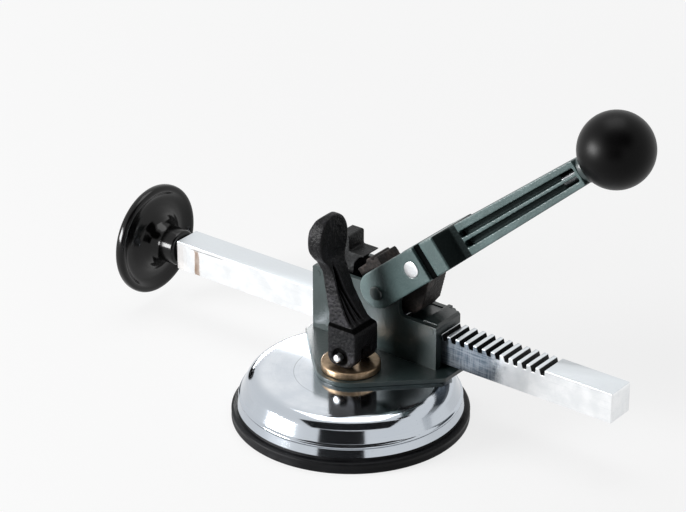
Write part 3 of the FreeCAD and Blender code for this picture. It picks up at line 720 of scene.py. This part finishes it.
# %% Dome
shoulder_centre = (44.5, 15.5)
shoulder_radius = 9
sheet = (0.55, 1.4)
shoulder_angle = np.radians(np.linspace(90, 24, 18))
shoulder_way = np.stack([np.cos(shoulder_angle), np.sin(shoulder_angle)], axis=1)
shoulder = shoulder_centre + shoulder_radius * shoulder_way
skirt = eased([(52.72, 19.16), (55.1, 13.9), (56.25, 13.1), (56.3, 12.4), (55.6, 11.7), (55.8, 11.1),
               (56.765, 8.25), (56.95, 7.7)], 0.6)
outside = np.vstack([[(5.3, 24.5), (30, 24.5)], shoulder, skirt[1:]])
inside = np.vstack([[(55.4, 7.7), (54.2, 12.4), (51.3, 18.4)], shoulder[::-3] - sheet, [(5.3, 23.0)]])
turned("dome_shell", np.vstack([outside, inside, outside[:1]]), (0, 0, 0), (0, 0, 1), STEEL_POLISHED,
       ["dome_cover"], "base", 192, 50)

# %% Bronze ring
ring = [(5.05, 27.0), (14.6, 27.0), (15, 27.4), (15, 30.3), (14.5, 30.75), (5.05, 30.75),
        (5.05, 27.0)]
turned("bronze_ring", eased(ring, 0.25), (0, 0, 0), (0, 0, 1), BRONZE, ["thrust_ring"], "base",
       128)

# %% [markdown]
# ## The ratchet housing
# The base plate and the two walls are cut from plate, so they keep their flat faces and only get a
# bevel. The guide blocks are sawn blocks. Their solids already have the right outline, so a copy
# with fine bevels is the truest and simplest way.

# %% Plates and blocks
bevelled("base_plate_body", "base_plate", 0.35, ENAMEL, "base")
bevelled("near_wall", "side_plate_near", 0.35, ENAMEL, "base")
bevelled("far_wall", "side_plate_far", 0.35, ENAMEL, "base")
bevelled("front_block", "guide_block_front", 0.3, ENAMEL, "base")
bevelled("rear_block", "guide_block_rear", 0.3, ENAMEL, "base")

# %% [markdown]
# ## The castings
# The cam lever, the two pawls and the handle are cast. A cast corner has a radius and its faces are
# never quite flat. Melting a copy of the solid gives both, and a relief formula then presses the
# flutes and the pin's recess into the lever, as the mould did. The paddle is softened more, because
# hands have worn it round.

# %% Cam lever
def lever_relief(p):
    """Three flutes fan out down the arm: each presses the skin in by a bell curve across Y.

    They start together at the neck, 3.5 mm towards the near side, and spread by the share of the
    way down, which is 0 at the neck and 1 at the hub. A round recess sinks in by 0.9 mm at the pin.
    """
    x, y, z = p.T
    arm = np.clip((z - lever_hub) / 0.008, 0, 1) * np.clip((lever_neck - z) / 0.008, 0, 1)
    front = np.clip(from_middle(x, z) / 0.003, 0, 1)
    down = np.clip((lever_neck - z) / (lever_neck - lever_hub), 0, 1)
    width = 0.0006 + 0.0005 * down
    flutes = sum(np.exp(-(apart / width) ** 2) for apart in from_flutes(y, down))
    radius = np.hypot(x - lever_pin_x, z - lever_pin_z)
    recess = np.exp(-(radius / 0.0048) ** 6) * (y < -0.0086)
    return p + np.stack([-0.0019 * flutes * arm * front, 0.0009 * recess, 0 * z], axis=1)


def paddle_only(p):
    """0 up to the neck, 1 on the paddle, with a straight rise between."""
    return np.clip((p[:, 2] - (lever_neck - 0.004)) / 0.008, 0, 1)


cast("lever_casting", "cam_lever", 0.45, 7, BLACK_CASTING, "cam", lever_relief,
     paddle_only, 14)

# %% Handle and pawls
cast("handle_casting", "handle", 0.5, 4, HANDLE_ENAMEL, "handle_arm")
cast("drive_pawl_casting", "drive_pawl", 0.4, 4, BROWN_CASTING, "drive")
cast("holding_pawl_casting", "holding_pawl", 0.4, 3, GREY_CASTING, "hold")

# %% [markdown]
# ## Pins and rivets
# Every cross pin shows a head. A head is a turned profile: a low dome with a soft rim. The pin of
# the handle is painted over with the housing, the pawl's pin is dark and oily, and the rivet of the
# drive pawl and the lever's pin are bright.

# %% Pins
def cross_pin(name, node, centre, reach, shank, head, height, material, body, crown=0.3):
    """A pin along Y with the same low head at both ends.

    `reach` is the distance from the centre to the underside of a head, `shank` and `head` are
    radii, `height` is the head's, all in millimetres, and `crown` says how round its top is.
    """
    half = [(shank, reach), (head - 0.2, reach), (head, reach + 0.3 * height),
            (head - 0.35, reach + 0.75 * height),
            (head * 0.5, reach + height * (1 - crown * 0.2)), (0, reach + height)]
    profile = [(r, -h) for r, h in half[::-1]] + half
    turned(name, eased(profile, 0.3), centre, (0, 1, 0), material, [node], body, 64, 40)


holding_axis = (-0.0251, bar_line, 0.0547)
drive_axis = (0.0227023, bar_line, 0.0804501)
cross_pin("pivot_pin", "handle_pivot_pin", (pivot_x, bar_line, pivot_z), 17.6, 3.0, 3.8, 1.4,
          ENAMEL, "base")
cross_pin("pawl_pin", "holding_pawl_pin", holding_axis, 13.8, 2.5, 3.3, 0.5, OILED, "base")
cross_pin("drive_rivet", "drive_pawl_rivet", drive_axis, 17.4, 4.0, 4.3, 0.4, BRIGHT_HEAD,
          "handle_arm", 0.2)
cross_pin("lever_cross_pin", "lever_pin", (lever_pin_x, 0, lever_pin_z), 11.4, 2.0, 2.0, 0.8,
          BRIGHT_HEAD, "stud", 0.8)

# %% [markdown]
# ## The toothed bar
# The bar is one square length with milled teeth. Milling leaves crisp edges, so the bevel is less
# than a quarter of a millimetre wide, enough for each tooth to show its thin bright line.

# %% Bar
bevelled("toothed_bar", "rack_bar", 0.22, ZINC_BAR, "rack", 1)

# %% [markdown]
# ## The push pad
# The pad is moulded in one piece: a thick rim, a shallow dish and a waisted boss that takes the end
# of the bar. A profile round the bar's own axis is all it takes, with generous easing so that the
# gloss runs over it without a break.

# %% Push pad
pad_middle = (-0.162, bar_line, 0.0365)
pad = [(3.02, 3.2), (7.3, 3.2), (7.3, 0), (28.2, 0), (29.5, 0.5), (30, 2), (30, 3.8), (29.4, 5.0),
       (28.2, 5.4), (26.8, 5.3), (25.6, 4.2), (24.3, 3.1), (22.4, 2.5), (18.6, 2.9), (14.6, 4.7),
       (11.6, 8.1), (10.0, 13), (9.6, 22.4), (3.02, 22.4), (3.02, 3.2)]
turned("moulded_pad", eased(pad, 1.4, 7), pad_middle, (1, 0, 0), PAD_PLASTIC, ["push_pad"],
       "rack", 160)

# %% [markdown]
# ## The ball knob
# The ball is moulded in two halves, and the mould leaves a fine line round it. On the grid of
# latitude and longitude the radius drops by a hair at that line, which is enough to catch the light.

# %% Ball
arm_way = np.array([math.cos(swing), 0, math.sin(swing)])
arm_up = np.array([-math.sin(swing), 0, math.cos(swing)])
pivot = np.array([pivot_x, bar_line, pivot_z])
ball_centre = pivot + arm_way * 0.1638 + arm_up * 0.0002
latitude = np.linspace(0, np.pi, 121)
seam = 0.12 * np.exp(-((latitude - np.radians(38)) / 0.012) ** 2)
ball_radius = 18.7 - seam
ball = np.stack([ball_radius * np.sin(latitude), -ball_radius * np.cos(latitude)], axis=1)
ball[[0, -1], 0] = 0
turned("ball", ball, ball_centre, arm_way, BALL_PLASTIC, ["ball_knob"], "handle_arm",
       160, 180)

# %% Collar
collar = [(4.02, 0), (7.2, 0), (7.6, 0.5), (7.6, 2.6), (7.4, 3.2), (4.02, 1.8), (4.02, 0)]
turned("collar", eased(collar, 0.3), pivot + arm_way * 0.143, arm_way, ENAMEL, ["knob_collar"],
       "handle_arm", 64)

# %% [markdown]
# ## Finishes for the inner parts
# The stud, the screws and the springs are hardly seen, and the guide rivets are painted over with
# the housing. Their solids have the right shape, so they keep it and only get a true finish on
# their material slots.

# %% Finish the solids that stay
inner = {"insert_plate": ZINC, "pull_stud": ZINC, "guide_rivets": ENAMEL, "wear_strip": BRONZE,
         "knob_stud": OILED, "pad_washer": ZINC, "pad_screw": ZINC, "holding_pawl_spring": OILED,
         "drive_pawl_spring": OILED}
for node, material in inner.items():
    for material_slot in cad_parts[node].material_slots:
        material_slot.material = material
print("finished", len(inner), "inner solids")

# %% [markdown]
# ## Studio
# The photograph is a cut-out on white, lit from the front left and from above, with a dark room
# around. Black gloss is only as black as what it mirrors, so the light alone can't make it deep. We
# do what a product photographer does: a white floor runs back into a white world, which the camera
# and the mirrors see, and dark cards stand beside the lamps, out of the camera's sight, to give the
# gloss something black to mirror. Light that spreads from the floor and the world would wash the
# dark paint out, so for such rays the floor is grey and the world is dim. Near the tool a fifth of
# what is seen of the floor is its own lit surface, which keeps a soft shadow under the cup.

# %% Helpers for the stage
def flat_piece(name, corners, material):
    """One stage rectangle from its four corners."""
    mesh = bpy.data.meshes.new(name)
    mesh.from_pydata([tuple(corner) for corner in corners], [], [(0, 1, 2, 3)])
    piece = bpy.data.objects.new(name, mesh)
    bpy.context.scene.collection.objects.link(piece)
    mesh.materials.append(material)
    return piece


def seen_directly(tree):
    """1 for a ray from the camera, from a mirror or through glass, 0 for light that spreads."""
    light_path = tree.nodes.new("ShaderNodeLightPath")
    seen = light_path.outputs["Is Camera Ray"]
    for kind in ("Is Glossy Ray", "Is Transmission Ray"):
        either = tree.nodes.new("ShaderNodeMath")
        either.operation = "MAXIMUM"
        tree.links.new(seen, either.inputs[0])
        tree.links.new(light_path.outputs[kind], either.inputs[1])
        seen = either.outputs[0]
    return seen


def join_shaders(tree, factor, first, second, target):
    """Sends the first shader to the target where the factor is 0, and the second where it is 1."""
    choose = tree.nodes.new("ShaderNodeMixShader")
    tree.links.new(factor, choose.inputs[0])
    tree.links.new(first, choose.inputs[1])
    tree.links.new(second, choose.inputs[2])
    tree.links.new(choose.outputs[0], target)


print("stage helpers ready")

# %% Floor
floor_mix = Finish("floor_white", Roughness=0.9)
floor_tree = floor_mix.material.node_tree
floor_seen = Level(floor_mix, seen_directly(floor_tree))
floor_speck = floor_mix.noise(floor_mix.place(), 3, 2)
floor_x, floor_y, _ = floor_mix.axes()
far_away = (floor_x * floor_x + floor_y * floor_y).math("SQRT").step(0.25, 1.5)
floor_white = floor_mix.blend(floor_speck, (0.84, 0.84, 0.84), (0.87, 0.87, 0.87))
floor_mix.finish(Base_Color=floor_mix.blend(floor_seen, (0.30, 0.30, 0.31), floor_white))
glow = floor_tree.nodes.new("ShaderNodeEmission")
glow.inputs["Strength"].default_value = 1.0
plain_white = floor_seen * (0.8 + far_away * 0.2)
join_shaders(floor_tree, plain_white.socket, floor_mix.shader.outputs[0], glow.outputs[0],
             floor_tree.nodes["Material Output"].inputs[0])
floor_half = 3.0
floor_corners = [(-floor_half, -floor_half, 0), (floor_half, -floor_half, 0),
                 (floor_half, floor_half, 0), (-floor_half, floor_half, 0)]
flat_piece("floor", floor_corners, floor_mix.material)
print("the floor is", 2 * floor_half, "metres wide")

# %% World
world = bpy.data.worlds.new("studio")
bpy.context.scene.world = world
world.use_nodes = True
sky = world.node_tree
dim_room = sky.nodes["Background"]
dim_room.inputs["Color"].default_value = (0.86, 0.87, 0.9, 1)
dim_room.inputs["Strength"].default_value = 0.06
white = sky.nodes.new("ShaderNodeBackground")
white.inputs["Color"].default_value = (1, 1, 1, 1)
white.inputs["Strength"].default_value = 1.0
join_shaders(sky, seen_directly(sky), dim_room.outputs[0], white.outputs[0],
             sky.nodes["World Output"].inputs[0])
print("the world is white where it is seen")

# %% Dark cards
card_mix = Finish("dark_card", Roughness=0.95)
card_speck = card_mix.noise(card_mix.place(), 4, 2)
card_mix.finish(Base_Color=card_mix.blend(card_speck, (0.008, 0.008, 0.009), (0.012, 0.012, 0.013)))
tool_middle = (0, 0, 0.08)


def dark_card(name, middle, wide, high):
    """A card centred on `middle` that faces the tool, with its long edge level."""
    _, level, rise = basis(np.asarray(tool_middle, float) - middle)
    level, rise = level * wide / 2, rise * high / 2
    corners = [middle - level - rise, middle + level - rise, middle + level + rise,
               middle - level + rise]
    card = flat_piece(name, corners, card_mix.material)
    card.visible_camera = False
    print(name, wide, "by", high, "metres")


dark_card("front_card", np.array((0.89, -1.68, 0.55)), 1.6, 1.1)
dark_card("ceiling_card", np.array((0.62, -0.82, 1.60)), 3.0, 1.5)

# %% Lamps
def softbox(name, place, target, size, watts):
    """A rectangle of light that shines from its place towards the target."""
    lamp = bpy.data.lights.new(name, "AREA")
    lamp.shape = "RECTANGLE"
    lamp.size, lamp.size_y = size
    lamp.energy = watts
    holder = bpy.data.objects.new(name, lamp)
    holder.location = place
    holder.rotation_euler = (Vector(target) - Vector(place)).to_track_quat("-Z", "Y").to_euler()
    bpy.context.scene.collection.objects.link(holder)
    print(name, watts, "watts")


softbox("left_box", (-0.98, -1.22, 0.38), (0, 0, 0.06), (0.8, 0.5), 47)
softbox("top_box", (-0.25, 0.35, 1.5), (0, 0, 0), (1.0, 0.9), 8)

# %% [markdown]
# ## Camera
# The camera was worked out from the cup's ellipse, the bar's edges and the ball in the photograph:
# a long lens, 1.4 metres away, looking down by 27 degrees.

# %% Camera
target = Vector((-0.00491, 0, 0.08713))
turn = math.radians(37.41)
tilt = math.radians(26.58)
away = 1.4
level_way = Vector((math.sin(turn), -math.cos(turn), 0))
place = target + away * (level_way * math.cos(tilt) + Vector((0, 0, math.sin(tilt))))
lens = bpy.data.cameras.new("camera")
lens.lens = 150
lens.sensor_width = 36
camera = bpy.data.objects.new("camera", lens)
camera.location = place
camera.rotation_euler = (target - place).to_track_quat("-Z", "Y").to_euler()
bpy.context.scene.collection.objects.link(camera)
bpy.context.scene.camera = camera
bpy.context.scene.view_settings.view_transform = "Standard"
print("camera at", tuple(round(v, 3) for v in place))
